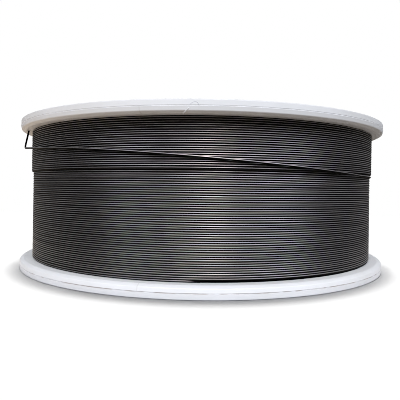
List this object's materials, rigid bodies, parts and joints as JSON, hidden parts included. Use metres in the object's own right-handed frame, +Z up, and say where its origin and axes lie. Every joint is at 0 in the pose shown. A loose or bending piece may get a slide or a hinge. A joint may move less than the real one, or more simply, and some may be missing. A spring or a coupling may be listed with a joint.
{
  "type": "spool of flux-cored welding wire",
  "caption": "Flanged white plastic spool, wound nearly to the rim with dark flux-cored welding wire, its end hooked through the upper flange; it stands on its lower flange.",
  "frame": {"origin": "on the floor, below the spool's axis", "axes": "+Z up along the spool's axis; the picture's front faces -Y; +X to the right"},
  "size_m": [0.27, 0.27, 0.102],
  "materials": {
    "spool_plastic": "white moulded plastic, half gloss, lightly scuffed at the rims",
    "wire": "dark drawn steel wire, half gloss, with a thin film of drawing lubricant"
  },
  "bodies": {
    "root": {"spool": "spool_plastic", "wire_winding": "wire", "wire_tail": "wire"}
  },
  "joints": []
}
